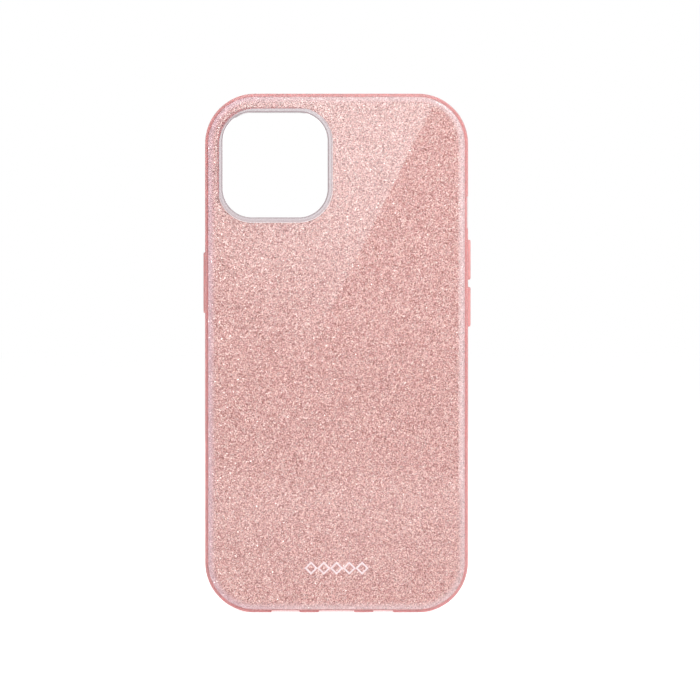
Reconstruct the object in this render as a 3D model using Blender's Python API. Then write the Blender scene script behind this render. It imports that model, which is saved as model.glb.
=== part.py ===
"""A phone case: a coral bumper ring, closed at the back by a clear plate over a glitter film.

The case stands upright. +Z is up, the glitter back faces -Y and the phone goes in from +Y.
Lengths are in metres. Each layer is placed by its depth behind the back plate's flat outer face,
and each outline is the case's rounded rectangle, inset by some distance from its widest edge.
"""

import math

import bmesh
import bpy

MM = 0.001

# The phone that the case is made for.
PHONE_WIDTH = 71.5 * MM
PHONE_HEIGHT = 146.7 * MM
PHONE_THICKNESS = 7.65 * MM
PHONE_CLEARANCE = 0.1 * MM

# The outer form.
WALL = 2.8 * MM
CASE_WIDTH = PHONE_WIDTH + 2 * (WALL + PHONE_CLEARANCE)
CASE_HEIGHT = PHONE_HEIGHT + 2 * (WALL + PHONE_CLEARANCE)
CORNER_RADIUS = 14.7 * MM
BACK_EDGE_REACH = 3.2 * MM
BACK_EDGE_DEPTH = 1.5 * MM
FRONT_EDGE_RADIUS = 1.8 * MM

# Layers, from the back plate's outer face to the front lip.
PLATE_THICKNESS = 1.0 * MM
PLATE_RIM_END = 1.9 * MM
RIM_WALL = 0.8 * MM
RIM_GAP = 0.15 * MM
LAYER_GAP = 0.15 * MM
FILM_THICKNESS = 0.2 * MM
LINER_THICKNESS = 0.5 * MM
LIP_THICKNESS = 1.2 * MM
LIP_OVERHANG = 0.9 * MM
LEDGE_WIDTH = 3.35 * MM
LINER_GAP = 0.3 * MM
FILM_START = PLATE_THICKNESS + LAYER_GAP
LINER_START = FILM_START + FILM_THICKNESS + LAYER_GAP
POCKET_FLOOR = LINER_START + LINER_THICKNESS
LIP_START = POCKET_FLOOR + PHONE_THICKNESS + 2 * PHONE_CLEARANCE
FRONT_FACE = LIP_START + LIP_THICKNESS

# The camera window and the clear collar that stands round it.
WINDOW_WIDTH = 30.8 * MM
WINDOW_HEIGHT = 30.8 * MM
WINDOW_RADIUS = 8.5 * MM
WINDOW_X = -18.0 * MM
WINDOW_BELOW_TOP = 21.05 * MM
COLLAR_WALL = 1.3 * MM
COLLAR_PROUD = 0.6 * MM
COLLAR_EDGE = 0.3 * MM
COLLAR_GAP = 0.2 * MM

# Openings in the bumper: its side, where its middle is along that side, and its length.
# Places on the right and left sides are heights above the bottom edge.
NOTCHES = {
    "speaker_notch": ("bottom", -15.0 * MM, 8.2 * MM),
    "charging_notch": ("bottom", 0.0, 10.3 * MM),
    "microphone_notch": ("bottom", 13.7 * MM, 5.8 * MM),
    "ring_switch_notch": ("right", CASE_HEIGHT - 34.9 * MM, 9.2 * MM),
}
NOTCH_FRONT = 9.0 * MM
NOTCH_STEP = 0.2 * MM
NOTCH_STEP_INSET = 1.4 * MM
NOTCH_RADIUS = 1.2 * MM

# Button pads, described as the openings are, and how far each stands out of its side.
BUTTONS = {
    "power_button": ("left", CASE_HEIGHT - 55.5 * MM, 18.0 * MM, 0.6 * MM),
    "volume_up_button": ("right", CASE_HEIGHT - 48.7 * MM, 11.8 * MM, 0.85 * MM),
    "volume_down_button": ("right", CASE_HEIGHT - 62.6 * MM, 11.7 * MM, 0.85 * MM),
}
BUTTON_DEPTH = POCKET_FLOOR + PHONE_THICKNESS / 2
BUTTON_WIDTH = 3.4 * MM
BUTTON_END_TAPER = 0.9 * MM
BUTTON_SIDE_TAPER = 0.5 * MM
BUTTON_EDGE = 0.12 * MM
BUTTON_RADIUS = 1.0 * MM
SLOT_GAP = 0.3 * MM
FLANGE_LIP = 0.6 * MM
FLANGE_OUTER = 1.5 * MM
FLANGE_THICKNESS = 0.7 * MM
RECESS_MARGIN = 1.2 * MM
RECESS_OUTER = 1.3 * MM

# The printed ornament: a row of lozenge outlines that overlap at their tips.
MARK_ABOVE_BOTTOM = 13.1 * MM
MARK_THICKNESS = 0.05 * MM
MARK_GAP = 0.05 * MM
MARK_LINE = 0.5 * MM
LOZENGES = 5
LOZENGE_PITCH = 3.75 * MM
LOZENGE_REACH = 1.95 * MM

CUT_MARGIN = 1.0 * MM
CORNER_STEPS = 12
EDGE_STEPS = 6
SMALL_STEPS = 4
SMOOTH_ANGLE = math.radians(32)

TOTAL_DEPTH = COLLAR_PROUD + FRONT_FACE
PLATE_Y = COLLAR_PROUD - TOTAL_DEPTH / 2
WINDOW_Z = CASE_HEIGHT / 2 - WINDOW_BELOW_TOP


def clear_scene():
    for item in list(bpy.data.objects):
        bpy.data.objects.remove(item)


def at_depth(depth):
    """The y coordinate of a point this far behind the back plate's outer face."""
    return PLATE_Y + depth


# ---------------------------------------------------------------- outlines and arcs


def rounded_rectangle(width, height, radius, steps):
    """(across, up) pairs, anticlockwise round a centred rectangle with round corners."""
    points = []
    for quarter in range(4):
        right = 1 if quarter in (0, 3) else -1
        top = 1 if quarter in (0, 1) else -1
        for step in range(steps + 1):
            angle = math.pi / 2 * (quarter + step / steps)
            points.append(
                (
                    right * (width / 2 - radius) + radius * math.cos(angle),
                    top * (height / 2 - radius) + radius * math.sin(angle),
                )
            )
    return points


def case_ring(inset, depth):
    """The case's outline, inset from its widest edge, at one depth."""
    outline = rounded_rectangle(
        CASE_WIDTH - 2 * inset, CASE_HEIGHT - 2 * inset, CORNER_RADIUS - inset, CORNER_STEPS
    )
    return [(x, at_depth(depth), z) for x, z in outline]


def window_ring(growth, depth):
    """The camera window's outline, grown on every side, at one depth."""
    outline = rounded_rectangle(
        WINDOW_WIDTH + 2 * growth, WINDOW_HEIGHT + 2 * growth, WINDOW_RADIUS + growth, CORNER_STEPS
    )
    return [(WINDOW_X + x, at_depth(depth), WINDOW_Z + z) for x, z in outline]


def side_ring(length, width, radius, outward, shift=0.0):
    """A rounded rectangle that faces out of a side wall: length along it, width across it."""
    outline = rounded_rectangle(length, width, radius, SMALL_STEPS)
    return [(along, across + shift, outward) for along, across in outline]


def back_edge():
    """(inset, depth) pairs along the plate's rounded edge, from its flat face to its side."""
    turns = [math.pi / 2 * step / EDGE_STEPS for step in range(EDGE_STEPS + 1)]
    return [
        (BACK_EDGE_REACH * (1 - math.sin(turn)), BACK_EDGE_DEPTH * (1 - math.cos(turn)))
        for turn in turns
    ]


def quarter_arc(centre, radius, start, steps):
    """(inset, depth) pairs along a quarter circle that begins at the angle start."""
    return [
        (
            centre[0] + radius * math.cos(start + math.pi / 2 * step / steps),
            centre[1] + radius * math.sin(start + math.pi / 2 * step / steps),
        )
        for step in range(steps + 1)
    ]


# ---------------------------------------------------------------- meshes


def skin(name, rings, closed=False):
    """An object skinned over rings of equal length; its ends are capped unless the rings close."""
    shape = bmesh.new()
    loops = [[shape.verts.new(point) for point in ring] for ring in rings]
    pairs = list(zip(loops, loops[1:]))
    if closed:
        pairs.append((loops[-1], loops[0]))
    for first, second in pairs:
        for here in range(len(first)):
            after = (here + 1) % len(first)
            shape.faces.new((first[here], first[after], second[after], second[here]))
    if not closed:
        shape.faces.new(loops[0])
        shape.faces.new(loops[-1])
    bmesh.ops.recalc_face_normals(shape, faces=shape.faces)
    mesh = bpy.data.meshes.new(name)
    shape.to_mesh(mesh)
    shape.free()
    mesh.shade_smooth()
    mesh.set_sharp_from_angle(angle=SMOOTH_ANGLE)
    made = bpy.data.objects.new(name, mesh)
    bpy.context.scene.collection.objects.link(made)
    return made


def boolean(target, operation, tools):
    """Joins all the tools to the target, or cuts all of them from it, in one step."""
    group = bpy.data.collections.new(f"{target.name} {operation.lower()}")
    bpy.context.scene.collection.children.link(group)
    for tool in tools:
        group.objects.link(tool)
    modifier = target.modifiers.new(operation.lower(), "BOOLEAN")
    modifier.operation = operation
    modifier.solver = "EXACT"
    modifier.operand_type = "COLLECTION"
    modifier.collection = group


def as_tool(tool):
    """A shape that only cuts or joins: it isn't a piece of the case."""
    tool.hide_render = True
    tool.display_type = "WIRE"
    return tool


def painted(made, name, colour, roughness, metallic=0.0, transmission=0.0):
    """Gives an object its own Principled material. The colour is linear."""
    finish = bpy.data.materials.new(name)
    finish.use_nodes = True
    shader = finish.node_tree.nodes["Principled BSDF"]
    shader.inputs["Base Color"].default_value = (*colour, 1.0)
    shader.inputs["Roughness"].default_value = roughness
    shader.inputs["Metallic"].default_value = metallic
    shader.inputs["Transmission Weight"].default_value = transmission
    finish.diffuse_color = (*colour, 1.0)
    made.data.materials.append(finish)
    return made


def place_on_side(made, side, along, depth):
    """Turns a shape modelled facing +Z so that it faces out of a side, and moves it there."""
    turns = {"right": math.pi / 2, "left": -math.pi / 2, "bottom": math.pi}
    made.rotation_euler = (0.0, turns[side], 0.0)
    if side == "bottom":
        made.location = (along, at_depth(depth), -CASE_HEIGHT / 2)
    else:
        outward = CASE_WIDTH / 2 if side == "right" else -CASE_WIDTH / 2
        made.location = (outward, at_depth(depth), along - CASE_HEIGHT / 2)
    return made


# ---------------------------------------------------------------- pieces


def bumper_profile():
    """The bumper's section, as (inset, depth) pairs, from the rim's seat round by the outside."""
    rim_seat = PLATE_RIM_END + RIM_GAP
    film_edge = RIM_WALL + RIM_GAP
    lip_edge = WALL + LIP_OVERHANG
    nose = 0.4 * MM
    front_centre = (FRONT_EDGE_RADIUS, FRONT_FACE - FRONT_EDGE_RADIUS)
    front = quarter_arc(front_centre, FRONT_EDGE_RADIUS, math.pi, EDGE_STEPS)
    front_rounding = [(inset, 2 * front_centre[1] - depth) for inset, depth in front]
    lip = [
        (lip_edge - nose, FRONT_FACE),
        (lip_edge, FRONT_FACE - nose),
        (lip_edge, LIP_START + nose),
        (lip_edge - nose, LIP_START),
        (WALL, LIP_START),
    ]
    ledge = [
        (WALL, POCKET_FLOOR),
        (WALL + LEDGE_WIDTH, POCKET_FLOOR),
        (WALL + LEDGE_WIDTH, LINER_START),
        (film_edge, LINER_START),
        (film_edge, rim_seat),
    ]
    return [(0.0, rim_seat), *front_rounding, *lip, *ledge]


def notch_tool(name, side, along, length):
    """Opens the wall as far as the back plate's rim outside, and down to the pocket's floor inside."""
    outer_start = -CUT_MARGIN
    inner_start = POCKET_FLOOR + NOTCH_STEP
    inner_end = NOTCH_FRONT - NOTCH_STEP
    outer = (length, NOTCH_FRONT - outer_start, NOTCH_RADIUS)
    inner = (length - 2 * NOTCH_STEP, inner_end - inner_start, NOTCH_RADIUS - NOTCH_STEP)
    outer_middle = (NOTCH_FRONT + outer_start) / 2
    inner_middle = (inner_end + inner_start) / 2
    tool = skin(
        name,
        [
            side_ring(*inner, -WALL - CUT_MARGIN, inner_middle),
            side_ring(*inner, -NOTCH_STEP_INSET, inner_middle),
            side_ring(*outer, -NOTCH_STEP_INSET, outer_middle),
            side_ring(*outer, CUT_MARGIN, outer_middle),
        ],
    )
    return as_tool(place_on_side(tool, side, along, 0.0))


def slot_tool(name, side, along, length):
    """The hole through the wall that a button pad stands in."""
    slot = (length + 2 * SLOT_GAP, BUTTON_WIDTH + 2 * SLOT_GAP, BUTTON_RADIUS + SLOT_GAP)
    tool = skin(
        f"{name}_slot",
        [side_ring(*slot, -RECESS_OUTER - CUT_MARGIN / 2), side_ring(*slot, CUT_MARGIN)],
    )
    return as_tool(place_on_side(tool, side, along, BUTTON_DEPTH))


def recess_tool(side):
    """The hollow in a wall's inner face that holds the flanges of all the pads on that side."""
    pads = [(along, length) for where, along, length, _ in BUTTONS.values() if where == side]
    low = min(along - length / 2 for along, length in pads) - RECESS_MARGIN
    high = max(along + length / 2 for along, length in pads) + RECESS_MARGIN
    recess = (high - low, BUTTON_WIDTH + 2 * RECESS_MARGIN, BUTTON_RADIUS + RECESS_MARGIN)
    tool = skin(
        f"{side}_recess",
        [side_ring(*recess, -WALL - CUT_MARGIN), side_ring(*recess, -RECESS_OUTER)],
    )
    return as_tool(place_on_side(tool, side, (low + high) / 2, BUTTON_DEPTH))


def bumper_frame(collar_hole):
    profile = bumper_profile()
    frame = skin("bumper_frame", [case_ring(*point) for point in profile], closed=True)
    tools = [notch_tool(name, *place) for name, place in NOTCHES.items()]
    tools += [recess_tool(side) for side in ("left", "right")]
    tools += [slot_tool(name, *place[:3]) for name, place in BUTTONS.items()]
    boolean(frame, "DIFFERENCE", [collar_hole, *tools])
    return painted(frame, "coral TPU", (0.70, 0.27, 0.26), 0.38), tools


def back_plate():
    """A clear cap with a rounded edge, and a collar round the camera window."""
    rim = [(0.0, PLATE_RIM_END), (RIM_WALL, PLATE_RIM_END), (RIM_WALL, PLATE_THICKNESS)]
    plate = skin("back_plate", [case_ring(*point) for point in back_edge() + rim])
    collar_end = LINER_START + LINER_THICKNESS
    collar = skin(
        "collar_block",
        [
            window_ring(COLLAR_WALL - COLLAR_EDGE, -COLLAR_PROUD),
            window_ring(COLLAR_WALL, COLLAR_EDGE - COLLAR_PROUD),
            window_ring(COLLAR_WALL, collar_end),
        ],
    )
    window = skin(
        "window_cutter",
        [
            window_ring(COLLAR_EDGE + CUT_MARGIN, -COLLAR_PROUD - CUT_MARGIN),
            window_ring(0.0, COLLAR_EDGE - COLLAR_PROUD),
            window_ring(0.0, collar_end + CUT_MARGIN),
        ],
    )
    boolean(plate, "UNION", [as_tool(collar)])
    boolean(plate, "DIFFERENCE", [as_tool(window)])
    painted(plate, "clear polycarbonate", (0.93, 0.86, 0.89), 0.04, transmission=1.0)
    return plate, [collar, window]


def glitter_film(collar_hole):
    edge = RIM_WALL + RIM_GAP
    end = FILM_START + FILM_THICKNESS
    film = skin("glitter_film", [case_ring(edge, FILM_START), case_ring(edge, end)])
    boolean(film, "DIFFERENCE", [collar_hole])
    return painted(film, "rose glitter", (0.66, 0.39, 0.37), 0.35, metallic=0.6)


def inner_liner(collar_hole):
    edge = WALL + LEDGE_WIDTH + LINER_GAP
    end = LINER_START + LINER_THICKNESS
    liner = skin("inner_liner", [case_ring(edge, LINER_START), case_ring(edge, end)])
    boolean(liner, "DIFFERENCE", [collar_hole])
    return painted(liner, "blush liner", (0.74, 0.52, 0.50), 0.75)


def button_pad(name, side, along, length, proud):
    """A pad whose cap stands out of the wall, with a flange that keeps it in.

    Its origin is where the line that it slides along meets the wall's outer face.
    """
    cap = (length, BUTTON_WIDTH, BUTTON_RADIUS)
    flange = (
        length + 2 * FLANGE_LIP,
        BUTTON_WIDTH + 2 * FLANGE_LIP,
        BUTTON_RADIUS + FLANGE_LIP,
    )
    shoulder = (
        length - 2 * (BUTTON_END_TAPER - BUTTON_EDGE),
        BUTTON_WIDTH - 2 * (BUTTON_SIDE_TAPER - BUTTON_EDGE),
        BUTTON_RADIUS - BUTTON_EDGE,
    )
    top = (
        length - 2 * (BUTTON_END_TAPER + BUTTON_EDGE),
        BUTTON_WIDTH - 2 * (BUTTON_SIDE_TAPER + BUTTON_EDGE),
        BUTTON_RADIUS - 2 * BUTTON_EDGE,
    )
    pad = skin(
        name,
        [
            side_ring(*flange, -FLANGE_OUTER - FLANGE_THICKNESS),
            side_ring(*flange, -FLANGE_OUTER),
            side_ring(*cap, -FLANGE_OUTER),
            side_ring(*cap, 0.0),
            side_ring(*shoulder, proud - BUTTON_EDGE),
            side_ring(*top, proud),
        ],
    )
    painted(pad, f"coral TPU {name}", (0.70, 0.27, 0.26), 0.38)
    return place_on_side(pad, side, along, BUTTON_DEPTH)


def lozenge(name, centre, reach, start, length):
    """A prism whose section is a square that stands on its corner, as far as reach from its centre."""
    corners = [(reach, 0.0), (0.0, reach), (-reach, 0.0), (0.0, -reach)]
    middle = MARK_ABOVE_BOTTOM - CASE_HEIGHT / 2
    return skin(
        name,
        [
            [(centre + x, at_depth(depth), middle + z) for x, z in corners]
            for depth in (start, start + length)
        ],
    )


def printed_mark():
    """A row of lozenge outlines, printed under the clear plate."""
    start = PLATE_THICKNESS + MARK_GAP
    centres = [(number - (LOZENGES - 1) / 2) * LOZENGE_PITCH for number in range(LOZENGES)]
    mark = lozenge("printed_mark", centres[0], LOZENGE_REACH, start, MARK_THICKNESS)
    hole_reach = LOZENGE_REACH - MARK_LINE * math.sqrt(2)
    hole_start = start - CUT_MARGIN
    hole_length = MARK_THICKNESS + 2 * CUT_MARGIN
    blocks = [
        lozenge(f"lozenge_{number}", centre, LOZENGE_REACH, start, MARK_THICKNESS)
        for number, centre in enumerate(centres[1:], start=2)
    ]
    holes = [
        lozenge(f"lozenge_hole_{number}", centre, hole_reach, hole_start, hole_length)
        for number, centre in enumerate(centres, start=1)
    ]
    tools = [as_tool(tool) for tool in blocks + holes]
    boolean(mark, "UNION", blocks)
    boolean(mark, "DIFFERENCE", holes)
    painted(mark, "pale print", (0.95, 0.80, 0.80), 0.4)
    return mark, tools


def main():
    clear_scene()
    centre = bpy.data.objects.new("case_centre", None)
    centre.location = (0.0, 0.0, CASE_HEIGHT / 2)
    bpy.context.scene.collection.objects.link(centre)

    collar_hole = as_tool(
        skin(
            "collar_hole",
            [
                window_ring(COLLAR_WALL + COLLAR_GAP, PLATE_THICKNESS + LAYER_GAP / 2),
                window_ring(COLLAR_WALL + COLLAR_GAP, POCKET_FLOOR + CUT_MARGIN),
            ],
        )
    )
    frame, frame_tools = bumper_frame(collar_hole)
    plate, plate_tools = back_plate()
    mark, mark_tools = printed_mark()
    pieces = [frame, plate, glitter_film(collar_hole), inner_liner(collar_hole), mark]
    pieces += [button_pad(name, *place) for name, place in BUTTONS.items()]
    for item in [*pieces, collar_hole, *frame_tools, *plate_tools, *mark_tools]:
        item.parent = centre


main()
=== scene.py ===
"""The looks of a phone case: a coral bumper, a clear back plate and the glitter film under it.

Lengths are in metres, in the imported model's frame: +Z is up and the glitter back faces -Y.
A depth is a distance behind the back plate's flat outer face, and an inset is a distance in
from the case's widest outline. A rounded rectangle's size is its width, its height and the
radius of its corners.
"""

import math

import bmesh
import bpy
from mathutils import Matrix, Vector

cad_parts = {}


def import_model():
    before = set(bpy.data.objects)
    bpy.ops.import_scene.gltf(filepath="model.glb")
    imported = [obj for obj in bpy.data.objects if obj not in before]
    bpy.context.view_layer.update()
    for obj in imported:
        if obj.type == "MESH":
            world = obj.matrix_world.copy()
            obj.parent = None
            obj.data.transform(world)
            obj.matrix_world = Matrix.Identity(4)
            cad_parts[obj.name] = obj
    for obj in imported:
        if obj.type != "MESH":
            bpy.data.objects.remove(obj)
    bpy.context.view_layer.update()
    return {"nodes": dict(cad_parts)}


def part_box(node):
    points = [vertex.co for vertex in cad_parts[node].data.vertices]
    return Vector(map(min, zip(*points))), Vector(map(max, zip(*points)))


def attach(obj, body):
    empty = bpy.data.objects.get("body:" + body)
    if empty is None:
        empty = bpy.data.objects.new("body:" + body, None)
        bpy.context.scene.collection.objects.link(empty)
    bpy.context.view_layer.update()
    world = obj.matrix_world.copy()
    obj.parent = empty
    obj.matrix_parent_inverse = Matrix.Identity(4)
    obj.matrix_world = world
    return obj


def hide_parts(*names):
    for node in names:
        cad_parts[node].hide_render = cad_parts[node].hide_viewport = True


MM = 0.001

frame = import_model()

# ---------------------------------------------------------------- the case's form

PLATE_LOW, PLATE_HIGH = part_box("back_plate")
CASE_WIDTH = PLATE_HIGH.x - PLATE_LOW.x
CASE_HEIGHT = PLATE_HIGH.z - PLATE_LOW.z
CENTRE_Z = (PLATE_HIGH.z + PLATE_LOW.z) / 2
COLLAR_PROUD = 0.6 * MM
PLATE_Y = PLATE_LOW.y + COLLAR_PROUD
FRONT_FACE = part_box("bumper_frame")[1].y - PLATE_Y
CORNER_RADIUS = 14.7 * MM
CASE_SIZE = (CASE_WIDTH, CASE_HEIGHT, CORNER_RADIUS)
BACK_EDGE_REACH = 3.2 * MM
BACK_EDGE_DEPTH = 1.5 * MM
FRONT_EDGE_RADIUS = 1.8 * MM

PLATE_THICKNESS = 1.0 * MM
PLATE_RIM_END = 1.9 * MM
RIM_WALL = 0.8 * MM
RIM_SEAT = 2.05 * MM
FILM_EDGE = 0.95 * MM
FILM_START = 1.15 * MM
FILM_END = 1.35 * MM
LINER_START = 1.5 * MM
POCKET_FLOOR = 2.0 * MM
LIP_START = 9.85 * MM
WALL = 2.8 * MM
LIP_EDGE = 3.7 * MM
LEDGE_EDGE = 6.15 * MM
LINER_EDGE = 6.45 * MM

WINDOW_SIZE = (30.8 * MM, 30.8 * MM, 8.5 * MM)
WINDOW_X = -18.0 * MM
WINDOW_Z = CENTRE_Z + CASE_HEIGHT / 2 - 21.05 * MM
COLLAR_WALL = 1.3 * MM
COLLAR_GAP = 0.2 * MM
COLLAR_ROUNDING = 0.4 * MM
COLLAR_FILLET = 0.25 * MM
COLLAR_SUNK = 0.3 * MM

NOTCHES = {
    "speaker_notch": ("bottom", -15.0 * MM, 8.2 * MM),
    "charging_notch": ("bottom", 0.0, 10.3 * MM),
    "microphone_notch": ("bottom", 13.7 * MM, 5.8 * MM),
    "ring_switch_notch": ("right", CASE_HEIGHT - 34.9 * MM, 9.2 * MM),
}
NOTCH_FRONT = 9.0 * MM
NOTCH_RADIUS = 1.2 * MM
NOTCH_SHELF = 1.4 * MM
NOTCH_INNER_START = 1.2 * MM
NOTCH_STEP = 0.2 * MM
MOUTH_ROUNDING = 0.35 * MM
MOUTH_STEPS = 5

BUTTONS = {
    "power_button": ("left", CASE_HEIGHT - 55.5 * MM, 18.0 * MM, 0.6 * MM),
    "volume_up_button": ("right", CASE_HEIGHT - 48.7 * MM, 11.8 * MM, 0.85 * MM),
    "volume_down_button": ("right", CASE_HEIGHT - 62.6 * MM, 11.7 * MM, 0.85 * MM),
}
BUTTON_DEPTH = 5.825 * MM
BUTTON_WIDTH = 3.4 * MM
BUTTON_RADIUS = 1.0 * MM
BEVEL = 0.45 * MM
BEVEL_FOOT = 0.2 * MM
BEVEL_STEPS = 8
SLOT_GAP = 0.3 * MM
FLANGE_LIP = 0.6 * MM
FLANGE_OUTER = 1.5 * MM
FLANGE_THICKNESS = 0.7 * MM
RECESS_MARGIN = 1.2 * MM
RECESS_OUTER = 1.3 * MM

CUT_MARGIN = 1.0 * MM
CORNER_STEPS = 28
SIDE_CORNER_STEPS = 8
SMOOTH_ANGLE = math.radians(34)


def at_depth(depth):
    return PLATE_Y + depth


# ---------------------------------------------------------------- outlines and arcs


def grown(size, growth):
    """A rounded rectangle's size, after it has grown by this much on every side."""
    width, height, radius = size
    return (width + 2 * growth, height + 2 * growth, radius + growth)


def rounded_rectangle(size, steps):
    """(across, up) pairs, anticlockwise round a centred rectangle with round corners."""
    width, height, radius = size
    points = []
    for quarter in range(4):
        right = 1 if quarter in (0, 3) else -1
        top = 1 if quarter in (0, 1) else -1
        for step in range(steps + 1):
            angle = math.pi / 2 * (quarter + step / steps)
            across = right * (width / 2 - radius) + radius * math.cos(angle)
            up = top * (height / 2 - radius) + radius * math.sin(angle)
            points.append((across, up))
    return points


def case_ring(inset, depth):
    """The case's outline, inset from its widest edge, at one depth."""
    outline = rounded_rectangle(grown(CASE_SIZE, -inset), CORNER_STEPS)
    return [(x, at_depth(depth), CENTRE_Z + z) for x, z in outline]


def window_ring(growth, depth):
    """The camera window's outline, grown on every side, at one depth."""
    outline = rounded_rectangle(grown(WINDOW_SIZE, growth), CORNER_STEPS)
    return [(WINDOW_X + x, at_depth(depth), WINDOW_Z + z) for x, z in outline]


def side_ring(size, outward, middle=0.0):
    """A rounded rectangle facing +Z, as placed_on_side needs it: its width runs along the side."""
    outline = rounded_rectangle(size, SIDE_CORNER_STEPS)
    return [(along, across + middle, outward) for along, across in outline]


def arc(centre, radii, start, end, steps):
    """(across, along) pairs on an ellipse about a centre, from one angle to another in degrees."""
    points = []
    for step in range(steps + 1):
        angle = math.radians(start + (end - start) * step / steps)
        across = centre[0] + radii[0] * math.cos(angle)
        along = centre[1] + radii[1] * math.sin(angle)
        points.append((across, along))
    return points


# ---------------------------------------------------------------- meshes


def linked(name, mesh):
    made = bpy.data.objects.new(name, mesh)
    bpy.context.scene.collection.objects.link(made)
    return made


def skin(name, rings, closed=False):
    """An object skinned over rings of equal length; its ends are capped unless the rings close."""
    shape = bmesh.new()
    loops = [[shape.verts.new(point) for point in ring] for ring in rings]
    pairs = list(zip(loops, loops[1:]))
    if closed:
        pairs.append((loops[-1], loops[0]))
    for first, second in pairs:
        for here in range(len(first)):
            after = (here + 1) % len(first)
            shape.faces.new((first[here], first[after], second[after], second[here]))
    if not closed:
        shape.faces.new(loops[0])
        shape.faces.new(loops[-1])
    bmesh.ops.recalc_face_normals(shape, faces=shape.faces)
    mesh = bpy.data.meshes.new(name)
    shape.to_mesh(mesh)
    shape.free()
    return linked(name, mesh)


def boolean(target, operation, tools):
    """Joins all the tools to the target, or cuts all of them from it, and removes them."""
    group = bpy.data.collections.new(f"{target.name} {operation.lower()}")
    bpy.context.scene.collection.children.link(group)
    for tool in tools:
        group.objects.link(tool)
    modifier = target.modifiers.new(operation.lower(), "BOOLEAN")
    modifier.operation = operation
    modifier.solver = "EXACT"
    modifier.operand_type = "COLLECTION"
    modifier.collection = group
    applied(target)
    for tool in tools:
        bpy.data.objects.remove(tool)
    bpy.data.collections.remove(group)


def applied(target):
    """Puts the result of an object's modifiers into its mesh."""
    bpy.context.view_layer.update()
    seen = target.evaluated_get(bpy.context.evaluated_depsgraph_get())
    mesh = bpy.data.meshes.new_from_object(seen)
    target.modifiers.clear()
    target.data = mesh


def smoothed(target):
    """Smooth shading, with the flat faces kept flat and the sharp edges kept sharp."""
    target.data.shade_smooth()
    target.data.set_sharp_from_angle(angle=SMOOTH_ANGLE)
    weights = target.modifiers.new("weighted normals", "WEIGHTED_NORMAL")
    weights.keep_sharp = True
    weights.weight = 100
    applied(target)
    return target


def placed_on_side(made, side, along, depth):
    """Turns a shape modelled facing +Z so that it faces out of a side, and moves it there."""
    turns = {"right": math.pi / 2, "left": -math.pi / 2, "bottom": math.pi}
    made.rotation_euler = (0.0, turns[side], 0.0)
    if side == "bottom":
        made.location = (along, at_depth(depth), CENTRE_Z - CASE_HEIGHT / 2)
    else:
        outward = CASE_WIDTH / 2 if side == "right" else -CASE_WIDTH / 2
        made.location = (outward, at_depth(depth), CENTRE_Z - CASE_HEIGHT / 2 + along)
    bpy.context.view_layer.update()
    made.data.transform(made.matrix_world)
    made.location = (0.0, 0.0, 0.0)
    made.rotation_euler = (0.0, 0.0, 0.0)
    return made


# ---------------------------------------------------------------- pieces


def bumper_profile():
    """The bumper's section, as (inset, depth) pairs, from the rim's seat round by the outside."""
    small = 0.12 * MM  # the radius of the seat's corner and the ledge's bevel
    nose = 0.45 * MM  # the radius of the lip's edges
    corner = 0.5 * MM  # the radius of the pocket's inner corners
    seat = arc((small, RIM_SEAT + small), (small, small), 270, 180, 3)
    front_middle = (FRONT_EDGE_RADIUS, FRONT_FACE - FRONT_EDGE_RADIUS)
    front = arc(front_middle, (FRONT_EDGE_RADIUS, FRONT_EDGE_RADIUS), 180, 90, 10)
    lip_front = arc((LIP_EDGE - nose, FRONT_FACE - nose), (nose, nose), 90, 0, 5)
    lip_back = arc((LIP_EDGE - nose, LIP_START + nose), (nose, nose), 0, -90, 5)
    under_lip = arc((WALL + corner, LIP_START - corner), (corner, corner), 90, 180, 4)
    floor = arc((WALL + corner, POCKET_FLOOR + corner), (corner, corner), 180, 270, 4)
    ledge = [
        (LEDGE_EDGE - small, POCKET_FLOOR),
        (LEDGE_EDGE, POCKET_FLOOR - small),
        (LEDGE_EDGE, LINER_START),
        (FILM_EDGE, LINER_START),
        (FILM_EDGE, RIM_SEAT),
    ]
    return seat + front + lip_front + lip_back + under_lip + floor + ledge


def collar_hole(name, start, end):
    """A cutter for the hole that the camera collar passes through, from one depth to another."""
    growth = COLLAR_WALL + COLLAR_GAP
    return skin(name, [window_ring(growth, start), window_ring(growth, end)])


def flared_tool(name, size, inner_end, middle):
    """A cutter for a hole through a side wall, whose mouth has a rounded edge."""
    rings = [side_ring(size, inner_end, middle)]
    for step in range(MOUTH_STEPS + 1):
        turn = math.pi / 2 * step / MOUTH_STEPS
        growth = MOUTH_ROUNDING * (1 - math.cos(turn))
        outward = MOUTH_ROUNDING * (math.sin(turn) - 1)
        rings.append(side_ring(grown(size, growth), outward, middle))
    rings.append(side_ring(grown(size, MOUTH_ROUNDING), CUT_MARGIN, middle))
    return skin(name, rings)


def notch_tools(name, side, along, length):
    """Cutters for an opening: a wide outer part, open to the plate's rim, and a narrower hole."""
    outer_start = -CUT_MARGIN
    outer_size = (length, NOTCH_FRONT - outer_start, NOTCH_RADIUS)
    outer = flared_tool(name, outer_size, -NOTCH_SHELF, (NOTCH_FRONT + outer_start) / 2)
    start = POCKET_FLOOR + NOTCH_STEP
    end = NOTCH_FRONT - NOTCH_STEP
    inner_size = (length - 2 * NOTCH_STEP, end - start, NOTCH_RADIUS - NOTCH_STEP)
    inner_ends = (-WALL - CUT_MARGIN, -NOTCH_INNER_START)
    rings = [side_ring(inner_size, outward, (start + end) / 2) for outward in inner_ends]
    inner = skin(f"{name}_inner", rings)
    return [placed_on_side(tool, side, along, 0.0) for tool in (outer, inner)]


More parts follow.
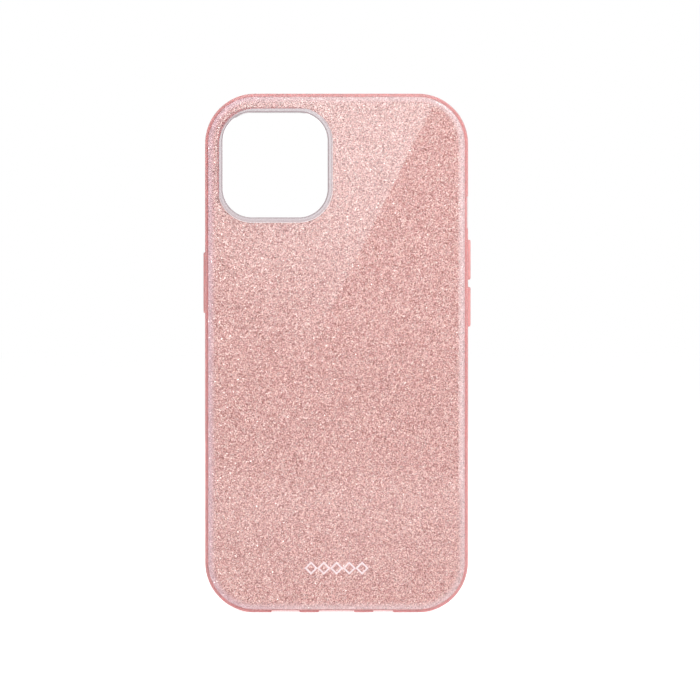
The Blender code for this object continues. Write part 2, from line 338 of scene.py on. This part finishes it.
def recess_tool(side):
    """A cutter for the recess inside a side wall, which holds the flanges of all its pads."""
    pads = [(along, length) for where, along, length, _ in BUTTONS.values() if where == side]
    low = min(along - length / 2 for along, length in pads)
    high = max(along + length / 2 for along, length in pads)
    size = grown((high - low, BUTTON_WIDTH, BUTTON_RADIUS), RECESS_MARGIN)
    rings = [side_ring(size, -WALL - CUT_MARGIN), side_ring(size, -RECESS_OUTER)]
    return placed_on_side(skin(f"{side}_recess", rings), side, (low + high) / 2, BUTTON_DEPTH)


def slot_tool(name, side, along, length):
    """A cutter for the slot that a pad slides in."""
    size = grown((length, BUTTON_WIDTH, BUTTON_RADIUS), SLOT_GAP)
    slot = flared_tool(f"{name}_slot", size, -RECESS_OUTER - CUT_MARGIN / 2, 0.0)
    return placed_on_side(slot, side, along, BUTTON_DEPTH)


def bumper():
    """The coral ring, with its openings, its pads' slots and room for the camera collar."""
    made = skin("bumper", [case_ring(*point) for point in bumper_profile()], closed=True)
    tools = [collar_hole("bumper_collar_hole", PLATE_THICKNESS, POCKET_FLOOR + CUT_MARGIN)]
    for name, place in NOTCHES.items():
        tools += notch_tools(name, *place)
    for side in ("left", "right"):
        tools.append(recess_tool(side))
    for name, (side, along, length, _) in BUTTONS.items():
        tools.append(slot_tool(name, side, along, length))
    boolean(made, "DIFFERENCE", tools)
    return smoothed(made)


def clear_back():
    """A clear cap with a rounded edge, and a collar round the camera window."""
    small = 0.1 * MM
    reach = (BACK_EDGE_REACH, BACK_EDGE_DEPTH)
    edge = arc(reach, reach, 270, 180, 18)
    rim = arc((small, PLATE_RIM_END - small), (small, small), 180, 90, 3)
    inside = [(RIM_WALL, PLATE_RIM_END), (RIM_WALL, PLATE_THICKNESS)]
    made = skin("clear_back", [case_ring(*point) for point in edge + rim + inside])
    rounding = (COLLAR_ROUNDING, COLLAR_ROUNDING)
    top_middle = COLLAR_ROUNDING - COLLAR_PROUD
    outer_top = arc((COLLAR_WALL - COLLAR_ROUNDING, top_middle), rounding, 270, 360, 6)
    foot_edge = COLLAR_WALL + COLLAR_FILLET
    foot = arc((foot_edge, -COLLAR_FILLET), (COLLAR_FILLET, COLLAR_FILLET), 180, 90, 5)
    sides = [(foot_edge, COLLAR_SUNK), (COLLAR_WALL, COLLAR_SUNK), (COLLAR_WALL, POCKET_FLOOR)]
    collar = skin("collar_block", [window_ring(*point) for point in outer_top + foot + sides])
    mouth = arc((COLLAR_ROUNDING, top_middle), rounding, 270, 180, 6)
    above = (COLLAR_ROUNDING, -COLLAR_PROUD - CUT_MARGIN)
    through = [above, *mouth, (0.0, POCKET_FLOOR + CUT_MARGIN)]
    window = skin("window_cutter", [window_ring(*point) for point in through])
    boolean(made, "UNION", [collar])
    boolean(made, "DIFFERENCE", [window])
    return smoothed(made)


def sheet_piece(name, edge, start, end):
    """A flat sheet under the plate, with a hole round the collar."""
    made = skin(name, [case_ring(edge, start), case_ring(edge, end)])
    hole = collar_hole(f"{name}_hole", start - CUT_MARGIN, end + CUT_MARGIN)
    boolean(made, "DIFFERENCE", [hole])
    return smoothed(made)


def button_cap(name, side, along, length, proud):
    """A pad whose cap has a round bevel, with a flange behind the wall."""
    cap = (length, BUTTON_WIDTH, BUTTON_RADIUS)
    flange = grown(cap, FLANGE_LIP)
    rings = [
        side_ring(flange, -FLANGE_OUTER - FLANGE_THICKNESS),
        side_ring(flange, -FLANGE_OUTER),
        side_ring(cap, -FLANGE_OUTER),
        side_ring(cap, -BEVEL_FOOT),
    ]
    for step in range(BEVEL_STEPS + 1):
        turn = math.pi / 2 * step / BEVEL_STEPS
        drawn_in = BEVEL * (1 - math.cos(turn))
        height = proud - BEVEL * (1 - math.sin(turn))
        rings.append(side_ring(grown(cap, -drawn_in), height))
    return smoothed(placed_on_side(skin(f"{name}_pad", rings), side, along, BUTTON_DEPTH))


# ---------------------------------------------------------------- materials

LARGE_FLAKE = 0.28 * MM
SMALL_FLAKE = 0.17 * MM
MIRROR_FLAKE = 0.27 * MM
LARGE_FLAKE_SHARE = 0.45
FLAKE_TILT = 0.65
MIRROR_CHANCE = 0.11
MIRROR_STRENGTH = 0.45
# Painted haze at the film's edge: where it is full, where it is gone, and how much it covers.
HAZE_FULL = 1.2 * MM
HAZE_GONE = 3.4 * MM
HAZE_SHARE = 0.9
DOT_PITCH = 2.0 * MM
DOT_LEVEL = 1.35
DOT_STEEPNESS = 2.5
WHITE = (1.0, 1.0, 1.0, 1.0)


def smooth_range(tree, value, start, end, at_start=0.0, at_end=1.0):
    """A node's value that turns smoothly into another range, and stays at that range's ends."""
    made = tree.nodes.new("ShaderNodeMapRange")
    made.interpolation_type = "SMOOTHSTEP"
    tree.links.new(value, made.inputs["Value"])
    made.inputs["From Min"].default_value = start
    made.inputs["From Max"].default_value = end
    made.inputs["To Min"].default_value = at_start
    made.inputs["To Max"].default_value = at_end
    return made.outputs["Result"]


class Shade:
    """A material's node tree, with short ways to add nodes and join them."""

    def __init__(self, name):
        self.material = bpy.data.materials.new(name)
        self.material.use_nodes = True
        self.tree = self.material.node_tree
        self.tree.nodes.clear()
        self.output = self.tree.nodes.new("ShaderNodeOutputMaterial")
        self.place = self.node("ShaderNodeTexCoord").outputs["Object"]

    def node(self, kind, settings=None, **inputs):
        made = self.tree.nodes.new(kind)
        for key, value in (settings or {}).items():
            setattr(made, key, value)
        for key, value in inputs.items():
            self.feed(made.inputs[key.replace("_", " ")], value)
        return made

    def feed(self, socket, value):
        if isinstance(value, bpy.types.NodeSocket):
            self.tree.links.new(value, socket)
        else:
            socket.default_value = value

    def math(self, operation, *values, clamp=False):
        made = self.tree.nodes.new("ShaderNodeMath")
        made.operation = operation
        made.use_clamp = clamp
        for socket, value in zip(made.inputs, values):
            self.feed(socket, value)
        return made.outputs["Value"]

    def between(self, share, low, high):
        """A number that goes from low to high as the share goes from 0 to 1."""
        return self.math("MULTIPLY_ADD", share, high - low, low)

    def vector(self, operation, *values):
        made = self.tree.nodes.new("ShaderNodeVectorMath")
        made.operation = operation
        for socket, value in zip(made.inputs, values):
            self.feed(socket, value)
        return made.outputs["Vector"]

    def ramp(self, value, stops, interpolation="LINEAR"):
        made = self.node("ShaderNodeValToRGB")
        ramp = made.color_ramp
        ramp.interpolation = interpolation
        while len(ramp.elements) < len(stops):
            ramp.elements.new(0.5)
        for element, (position, colour) in zip(ramp.elements, stops):
            element.position = position
            element.color = (*colour, 1.0)
        self.feed(made.inputs["Fac"], value)
        return made.outputs["Color"]

    def mix(self, factor, first, second, blend="MIX"):
        made = self.node("ShaderNodeMix", {"data_type": "RGBA", "blend_type": blend})
        self.feed(made.inputs[0], factor)
        self.feed(made.inputs[6], first)
        self.feed(made.inputs[7], second)
        return made.outputs[2]

    def noise(self, size, detail=2.0, roughness=0.5):
        """Noise whose features are about this size."""
        made = self.node("ShaderNodeTexNoise", Vector=self.place, Scale=1.0 / size)
        made.inputs["Detail"].default_value = detail
        made.inputs["Roughness"].default_value = roughness
        return made.outputs["Fac"]

    def cells(self, size):
        """Cells about this size across: the random colour of each one, and its channels."""
        made = self.node("ShaderNodeTexVoronoi", Vector=self.place, Scale=1.0 / size)
        colour = made.outputs["Color"]
        return colour, self.node("ShaderNodeSeparateColor", Color=colour).outputs

    def bump(self, height, strength, distance):
        made = self.node("ShaderNodeBump", Height=height, Strength=strength)
        made.inputs["Distance"].default_value = distance
        return made.outputs["Normal"]

    def principled(self, colour, roughness, normal=None, **settings):
        made = self.node("ShaderNodeBsdfPrincipled")
        self.feed(made.inputs["Base Color"], colour)
        self.feed(made.inputs["Roughness"], roughness)
        if normal is not None:
            self.feed(made.inputs["Normal"], normal)
        for key, value in settings.items():
            made.inputs[key.replace("_", " ")].default_value = value
        return made.outputs["BSDF"]

    def blend(self, share, first, second):
        """A mix of two shaders."""
        made = self.node("ShaderNodeMixShader", Fac=share)
        self.feed(made.inputs[1], first)
        self.feed(made.inputs[2], second)
        return made.outputs["Shader"]

    def finish(self, shader):
        self.tree.links.new(shader, self.output.inputs["Surface"])
        return self.material


def coral_tpu():
    """Satin, slightly see-through coral rubber with a fine moulded grain."""
    shade = Shade("coral_tpu")
    cloud = shade.noise(9 * MM, detail=3.0)
    grain = shade.noise(0.16 * MM, detail=3.0, roughness=0.6)
    colour = shade.ramp(cloud, [(0.3, (0.76, 0.36, 0.355)), (0.7, (0.81, 0.395, 0.39))])
    shader = shade.principled(
        colour,
        shade.between(grain, 0.30, 0.46),
        shade.bump(grain, 0.25, 0.02 * MM),
        IOR=1.48,
        Subsurface_Weight=0.35,
        Subsurface_Radius=(1.0, 0.55, 0.5),
        Subsurface_Scale=1.6 * MM,
    )
    return shade.finish(shader)


def clear_plastic(name, tint, milk_share=0.0, milk=(1.0, 1.0, 1.0)):
    """Clear, very glossy plastic, whose tint colours what is seen through each of its faces.

    It can hold some milkiness. It mirrors on the outside only, because light isn't bent inside it.
    """
    shade = Shade(name)
    waves = shade.noise(28 * MM, detail=1.0)
    scuffs = shade.noise(0.6 * MM, detail=4.0, roughness=0.7)
    gloss = shade.between(scuffs, 0.005, 0.025)
    normal = shade.bump(waves, 0.02, 0.2 * MM)
    body = shade.node("ShaderNodeBsdfTransparent", Color=(*tint, 1.0)).outputs["BSDF"]
    if milk_share:
        cloudy = shade.node("ShaderNodeBsdfDiffuse", Color=(*milk, 1.0)).outputs["BSDF"]
        body = shade.blend(milk_share, body, cloudy)
    shine = shade.node("ShaderNodeBsdfGlossy", Color=WHITE, Roughness=gloss, Normal=normal)
    fresnel = shade.node("ShaderNodeFresnel", IOR=1.5, Normal=normal)
    inside = shade.node("ShaderNodeNewGeometry").outputs["Backfacing"]
    outside = shade.math("SUBTRACT", 1.0, inside)
    share = shade.math("MULTIPLY", fresnel.outputs["Fac"], outside)
    return shade.finish(shade.blend(share, body, shine.outputs["BSDF"]))


def film_inset(shade):
    """How far a point is in from the case's widest outline, worked out by nodes."""
    split = shade.node("ShaderNodeSeparateXYZ", Vector=shade.place)
    side = shade.math("ABSOLUTE", split.outputs["X"])
    side = shade.math("SUBTRACT", side, CASE_WIDTH / 2 - CORNER_RADIUS)
    rise = shade.math("ABSOLUTE", shade.math("SUBTRACT", split.outputs["Z"], CENTRE_Z))
    rise = shade.math("SUBTRACT", rise, CASE_HEIGHT / 2 - CORNER_RADIUS)
    side_out = shade.math("MAXIMUM", side, 0.0)
    rise_out = shade.math("MAXIMUM", rise, 0.0)
    squares = shade.math("MULTIPLY", side_out, side_out)
    squares = shade.math("MULTIPLY_ADD", rise_out, rise_out, squares)
    corner = shade.math("SQRT", squares)
    inner = shade.math("MINIMUM", shade.math("MAXIMUM", side, rise), 0.0)
    return shade.math("SUBTRACT", CORNER_RADIUS, shade.math("ADD", corner, inner))


def facet_normal(shade, colour, tilt):
    """The surface's normal, tilted at random by a flake's colour."""
    lean = shade.vector("SUBTRACT", colour, (0.5, 0.5, 0.5))
    lean = shade.vector("MULTIPLY", lean, (tilt, tilt, tilt))
    facing = shade.node("ShaderNodeNewGeometry").outputs["Normal"]
    return shade.vector("NORMALIZE", shade.vector("ADD", facing, lean))


def flake_colour(shade, large, small):
    """A rose for each flake, from dark to nearly white, with a little yellow or violet in it."""
    level = shade.math("MULTIPLY", large["Red"], LARGE_FLAKE_SHARE)
    level = shade.math("MULTIPLY_ADD", small["Red"], 1 - LARGE_FLAKE_SHARE, level)
    roses = [
        (0.05, (0.24, 0.075, 0.065)),
        (0.30, (0.47, 0.215, 0.195)),
        (0.52, (0.69, 0.385, 0.36)),
        (0.75, (0.88, 0.60, 0.555)),
        (0.95, (1.0, 0.88, 0.80)),
    ]
    hues = [(0.0, (0.96, 0.93, 1.0)), (0.5, (1.0, 1.0, 1.0)), (1.0, (1.0, 0.99, 0.90))]
    hue = shade.ramp(small["Green"], hues)
    return shade.mix(0.8, shade.ramp(level, roses), hue, "MULTIPLY")


def painted_haze_colour(shade, large):
    """A dusty, painted edge haze: lavender on the left, cream on the right where the lights fall.
    """
    # Painted light: lavender towards the left, cream towards the right, where the lamps on the
    # right fall.
    across = shade.node("ShaderNodeSeparateXYZ", Vector=shade.place).outputs["X"]
    across = shade.math("MULTIPLY_ADD", across, 1 / CASE_WIDTH, 0.5)
    tint = shade.ramp(across, [(0.1, (0.75, 0.54, 0.58)), (0.35, (0.80, 0.62, 0.62))])
    dust = shade.ramp(large["Green"], [(0.0, (0.80, 0.74, 0.74)), (0.7, (1.0, 1.0, 1.0))])
    return shade.mix(1.0, tint, dust, "MULTIPLY")


def rose_glitter():
    """Flakes of several sizes, each with its own colour and tilt, and a few that are mirrors.

    Towards the film's edge their colours fade to a pale, painted haze of the clear rounded edge.
    """
    shade = Shade("rose_glitter")
    _, large = shade.cells(LARGE_FLAKE)
    tilts, small = shade.cells(SMALL_FLAKE)
    inset = film_inset(shade)
    # Painted haze: near the edge the flakes fade to a pale colour, as the rounded clear edge looks
    # hazy.
    edge = smooth_range(shade.tree, inset, HAZE_FULL, HAZE_GONE, HAZE_SHARE, 0.0)
    colour = shade.mix(edge, flake_colour(shade, large, small), painted_haze_colour(shade, large))
    roughness = shade.between(large["Blue"], 0.30, 0.55)
    facet = facet_normal(shade, tilts, FLAKE_TILT)
    flakes = shade.principled(colour, roughness, facet, Metallic=0.3, Specular_IOR_Level=0.25)
    tilts, mirror = shade.cells(MIRROR_FLAKE)
    facet = facet_normal(shade, tilts, 1.0)
    chosen = shade.math("GREATER_THAN", mirror["Red"], 1 - MIRROR_CHANCE)
    sparkle = shade.principled((1.0, 0.88, 0.80, 1.0), 0.2, facet, Metallic=1.0)
    share = shade.math("MULTIPLY", chosen, MIRROR_STRENGTH)
    return shade.finish(shade.blend(share, flakes, sparkle))


def blush_liner():
    """A matte blush sheet with a grid of raised dots."""
    shade = Shade("blush_liner")
    split = shade.node("ShaderNodeSeparateXYZ", Vector=shade.place)
    waves = []
    for axis in ("X", "Z"):
        turns = shade.math("MULTIPLY", split.outputs[axis], 2 * math.pi / DOT_PITCH)
        waves.append(shade.math("COSINE", turns))
    dots = shade.math("ADD", *waves)
    raised = shade.math("SUBTRACT", dots, DOT_LEVEL)
    raised = shade.math("MULTIPLY", raised, DOT_STEEPNESS, clamp=True)
    fibre = shade.noise(0.35 * MM, detail=4.0, roughness=0.65)
    cloud = shade.noise(14 * MM, detail=2.0)
    ground = shade.ramp(cloud, [(0.3, (0.74, 0.49, 0.46)), (0.7, (0.78, 0.53, 0.50))])
    colour = shade.mix(raised, ground, (0.82, 0.60, 0.57, 1.0))
    height = shade.math("MULTIPLY_ADD", fibre, 0.25, raised)
    normal = shade.bump(height, 0.6, 0.06 * MM)
    return shade.finish(shade.principled(colour, 0.62, normal))


def pale_print():
    """Pale print, a little uneven where the ink is thinner."""
    shade = Shade("pale_print")
    ink = shade.noise(0.5 * MM, detail=3.0)
    colour = shade.ramp(ink, [(0.3, (0.90, 0.74, 0.76)), (0.7, (0.98, 0.86, 0.86))])
    return shade.finish(shade.principled(colour, 0.4))


# ---------------------------------------------------------------- the case

ZONE_MARGIN = 0.02 * MM
MOUTH_ZONE_END = -0.15 * MM
COLLAR_ZONE_END = -0.01 * MM
COLLAR_ZONE_REACH = 0.3 * MM


def dressed(made, material, body, node):
    """Gives a piece its material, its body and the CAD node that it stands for."""
    made.data.materials.clear()
    made.data.materials.append(material)
    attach(made, body)
    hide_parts(node)
    return made


def outside_by(point, middle, size):
    """How far a point is outside a rounded rectangle, in x and z. Inside it is negative."""
    width, height, radius = size
    across = abs(point.x - middle[0]) - (width / 2 - radius)
    up = abs(point.z - middle[1]) - (height / 2 - radius)
    corner = math.hypot(max(across, 0.0), max(up, 0.0))
    return corner + min(max(across, up), 0.0) - radius


def zoned(made, materials, zone):
    """Gives each face the finish of the zone that its middle is in: 0 keeps the first one."""
    for material in materials:
        made.data.materials.append(material)
    for face in made.data.polygons:
        face.material_index = zone(face.center)


def plate_zone(point):
    """1 is the collar, 2 the window's mouth, darker with painted shade, and 3 the plate's rim.

    A face that runs all round the window, such as the collar's end, has its middle in the hole.
    """
    growth = outside_by(point, (WINDOW_X, WINDOW_Z), WINDOW_SIZE)
    inset = -outside_by(point, (0.0, CENTRE_Z), CASE_SIZE)
    depth = point.y - PLATE_Y
    if growth < COLLAR_ROUNDING + ZONE_MARGIN:
        return 2 if growth > -ZONE_MARGIN and depth < MOUTH_ZONE_END else 1
    if growth < COLLAR_WALL + COLLAR_ZONE_REACH and depth < COLLAR_ZONE_END:
        return 1
    return 3 if inset < RIM_WALL + ZONE_MARGIN else 0


coral = coral_tpu()
clear = clear_plastic("clear_polycarbonate", (0.985, 0.975, 0.98))
collar_clear = clear_plastic("clear_collar", (0.80, 0.73, 0.745), 0.10, (0.72, 0.66, 0.68))
# The window's mouth has a darker grey tint and grey milk: painted shade along the window's inner
# edge.
shaded_mouth_clear = clear_plastic("shaded_collar_mouth", (0.58, 0.52, 0.535), 0.20, (0.50, 0.44, 0.455))
rim_clear = clear_plastic("clear_rim", (0.97, 0.91, 0.91), 0.10, (0.90, 0.74, 0.74))
glitter = rose_glitter()

dressed(bumper(), coral, "shell", "bumper_frame")
plate = dressed(clear_back(), clear, "shell", "back_plate")
zoned(plate, (collar_clear, shaded_mouth_clear, rim_clear), plate_zone)
film = sheet_piece("glitter_sheet", FILM_EDGE, FILM_START, FILM_END)
dressed(film, glitter, "shell", "glitter_film")
liner = sheet_piece("liner_sheet", LINER_EDGE, LINER_START, POCKET_FLOOR)
dressed(liner, blush_liner(), "shell", "inner_liner")
for pad_name, pad_place in BUTTONS.items():
    dressed(button_cap(pad_name, *pad_place), coral, pad_name, pad_name)
mark = frame["nodes"]["printed_mark"]
mark.data.materials.clear()
mark.data.materials.append(pale_print())

# ---------------------------------------------------------------- the studio

SENSOR = 36.0
FRAME_WIDTH = 205.3 * MM
CAMERA_DISTANCE = 0.9
CAMERA_X = 3.95 * MM
CAMERA_Z = 77.15 * MM
WORLD_HORIZON = 0.37
WORLD_ABOVE = 0.18
WORLD_RISE = (0.12, 0.5)
WORLD_LEFT = 0.05
WORLD_SIDE = (-0.9, -0.1)
FLOOR_REACH = 40.0
FLOOR_GLOW = 0.36
FLOOR_SEEN = 0.85
FLOOR_MIRRORED = 0.12


def camera():
    data = bpy.data.cameras.new("camera")
    data.sensor_width = SENSOR
    data.lens = SENSOR * CAMERA_DISTANCE / FRAME_WIDTH
    made = bpy.data.objects.new("camera", data)
    made.location = (CAMERA_X, PLATE_Y - CAMERA_DISTANCE, CAMERA_Z)
    made.rotation_euler = (math.pi / 2, 0.0, 0.0)
    bpy.context.scene.collection.objects.link(made)
    bpy.context.scene.camera = made
    return made


def softbox(name, place, target, size, radiance, colour=WHITE[:3], roll=0.0):
    """A rectangular light that faces a target. Its strength is given as radiance."""
    data = bpy.data.lights.new(name, "AREA")
    data.shape = "RECTANGLE"
    data.size, data.size_y = size
    data.energy = 4 * radiance * size[0] * size[1]
    data.color = colour
    made = bpy.data.objects.new(name, data)
    made.location = place
    facing = (Vector(target) - Vector(place)).to_track_quat("-Z", "Y").to_matrix()
    made.rotation_euler = (facing @ Matrix.Rotation(roll, 3, "Z")).to_euler()
    made.visible_camera = False
    bpy.context.scene.collection.objects.link(made)
    return made


def fading(light, start, end):
    """Makes a light fade out towards its lower end, between two heights given as shares of it."""
    light.data.use_nodes = True
    tree = light.data.node_tree
    shine = tree.nodes["Emission"]
    across = tree.nodes.new("ShaderNodeNewGeometry")
    split = tree.nodes.new("ShaderNodeSeparateXYZ")
    tree.links.new(across.outputs["Parametric"], split.inputs["Vector"])
    fade = smooth_range(tree, split.outputs["Y"], start, end)
    tree.links.new(fade, shine.inputs["Strength"])


def floor():
    """A pale floor that glows: most where the camera sees it, least where the case mirrors it."""
    shape = bmesh.new()
    bmesh.ops.create_grid(shape, x_segments=1, y_segments=1, size=FLOOR_REACH)
    mesh = bpy.data.meshes.new("floor")
    shape.to_mesh(mesh)
    shape.free()
    made = linked("floor", mesh)
    shade = Shade("pale_floor")
    speckle = shade.noise(3 * MM, detail=3.0)
    colour = shade.ramp(speckle, [(0.3, (0.90, 0.90, 0.90)), (0.7, (0.93, 0.93, 0.93))])
    path = shade.node("ShaderNodeLightPath")
    glow = shade.between(path.outputs["Is Glossy Ray"], FLOOR_GLOW, FLOOR_MIRRORED)
    seen = path.outputs["Is Camera Ray"]
    glow = shade.math("MULTIPLY_ADD", seen, FLOOR_SEEN - FLOOR_GLOW, glow)
    light = shade.node("ShaderNodeEmission", Strength=glow).outputs["Emission"]
    both = shade.node("ShaderNodeAddShader")
    shade.feed(both.inputs[0], shade.principled(colour, 0.9))
    shade.feed(both.inputs[1], light)
    made.data.materials.append(shade.finish(both.outputs["Shader"]))
    return made


def world():
    """White where the camera sees it. It lights the case most from the horizon, least from -X."""
    made = bpy.data.worlds.new("studio")
    made.use_nodes = True
    tree = made.node_tree
    tree.nodes.clear()
    output = tree.nodes.new("ShaderNodeOutputWorld")
    seen = tree.nodes.new("ShaderNodeBackground")
    seen.inputs["Color"].default_value = WHITE
    lit = tree.nodes.new("ShaderNodeBackground")
    lit.inputs["Color"].default_value = WHITE
    direction = tree.nodes.new("ShaderNodeTexCoord")
    split = tree.nodes.new("ShaderNodeSeparateXYZ")
    tree.links.new(direction.outputs["Generated"], split.inputs["Vector"])
    rise, side = split.outputs["Z"], split.outputs["X"]
    product = tree.nodes.new("ShaderNodeMath")
    product.operation = "MULTIPLY"
    level = smooth_range(tree, rise, *WORLD_RISE, WORLD_HORIZON, WORLD_ABOVE)
    tree.links.new(level, product.inputs[0])
    tree.links.new(smooth_range(tree, side, *WORLD_SIDE, WORLD_LEFT), product.inputs[1])
    tree.links.new(product.outputs["Value"], lit.inputs["Strength"])
    path = tree.nodes.new("ShaderNodeLightPath")
    either = tree.nodes.new("ShaderNodeMixShader")
    tree.links.new(path.outputs["Is Camera Ray"], either.inputs[0])
    tree.links.new(lit.outputs["Background"], either.inputs[1])
    tree.links.new(seen.outputs["Background"], either.inputs[2])
    tree.links.new(either.outputs["Shader"], output.inputs["Surface"])
    bpy.context.scene.world = made


camera()
floor()
world()
bpy.context.scene.view_settings.view_transform = "Standard"

case_middle = (0.0, 0.0, CENTRE_Z)
softbox("overhead", (0.0, -0.15, 1.3), (0.0, -0.1, 0.0), size=(2.4, 2.4), radiance=0.35)
softbox("overhead_strip", (0.0, -0.42, 1.1), case_middle, size=(1.0, 0.45), radiance=1.6)
softbox("back_fill", (-0.2, 1.5, 0.6), case_middle, size=(1.2, 1.2), radiance=1.0)
softbox("right_front", (0.34, -0.85, 0.12), case_middle, size=(0.40, 0.5), radiance=2.2)
softbox("upper_front", (0.0, -0.85, 0.56), case_middle, size=(0.8, 0.40), radiance=1.8)
softbox(
    "corner_highlight",
    (0.50, -0.90, 0.66),
    case_middle,
    size=(0.55, 0.22),
    radiance=4.0,
    roll=math.radians(-45),
)

# The key faces the plate, which mirrors it at its upper left.
KEY_X, KEY_Z = -0.048, 0.198
key = softbox(
    "upper_left_key",
    (KEY_X, PLATE_Y - CAMERA_DISTANCE, KEY_Z),
    (KEY_X, 0.0, KEY_Z),
    size=(0.16, 0.30),
    radiance=2.6,
    colour=(0.72, 0.98, 1.0),
    roll=math.radians(-26.4),
)
fading(key, 0.08, 0.6)
